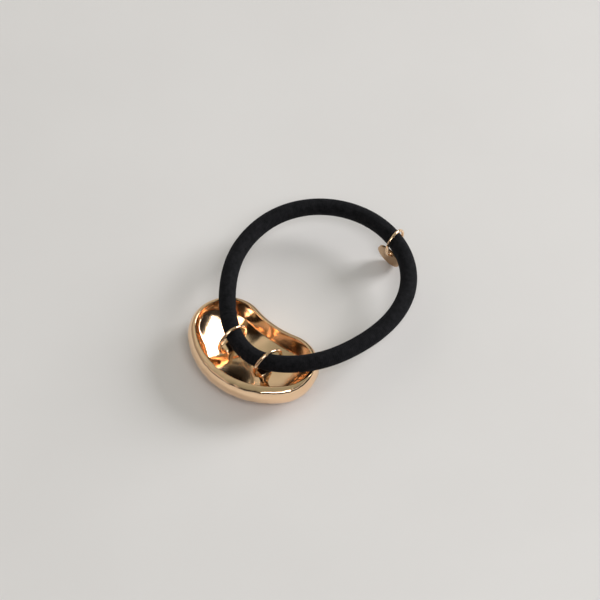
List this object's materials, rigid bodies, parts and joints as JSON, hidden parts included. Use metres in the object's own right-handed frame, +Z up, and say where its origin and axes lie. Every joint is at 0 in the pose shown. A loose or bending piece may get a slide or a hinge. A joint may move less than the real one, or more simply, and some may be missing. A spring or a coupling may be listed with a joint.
{
  "type": "metal cuff hair tie",
  "caption": "Kidney-shaped metal cup on a closed loop of hair elastic, worn round a ponytail; wire rings hold the elastic in the cup and a small round charm hangs opposite.",
  "frame": {"origin": "on the table under the middle of the whole piece", "axes": "+X along the cup, +Y from the cup to the charm, +Z up, out of the cup's open side"},
  "size_m": [0.05, 0.0665, 0.0142],
  "materials": {
    "cup_metal": "polished light gold plating",
    "wire": "polished light gold wire",
    "charm_metal": "satin gold plating",
    "elastic": "matt black knitted cover"
  },
  "bodies": {
    "root": {"cup": "cup_metal", "ring_left": "wire", "ring_right": "wire", "hair_elastic": "elastic", "charm_ring": "wire", "charm": "charm_metal"}
  },
  "joints": []
}
